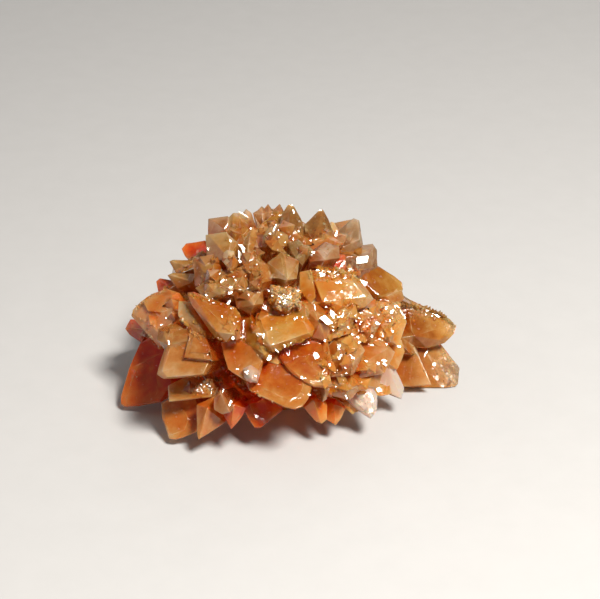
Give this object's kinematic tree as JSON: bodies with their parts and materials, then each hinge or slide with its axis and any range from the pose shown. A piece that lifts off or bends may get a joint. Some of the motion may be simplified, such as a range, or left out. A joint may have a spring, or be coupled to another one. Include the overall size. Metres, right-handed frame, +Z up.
{
  "type": "calcite specimen",
  "caption": "Dome-shaped calcite specimen: translucent amber-orange blades and teeth grown together around a core, with druse between them, standing on a flat break",
  "frame": {"origin": "on the flat break that the specimen stands on, below its crown", "axes": "+X across the specimen to the right as seen from the display side, -Y towards the display side, +Z up"},
  "size_m": [0.0837, 0.0723, 0.0461],
  "materials": {
    "calcite": "glossy crystal faces, translucent amber to orange, paler at the tips"
  },
  "bodies": {
    "root": {"calcite_cluster": "calcite"}
  },
  "joints": []
}
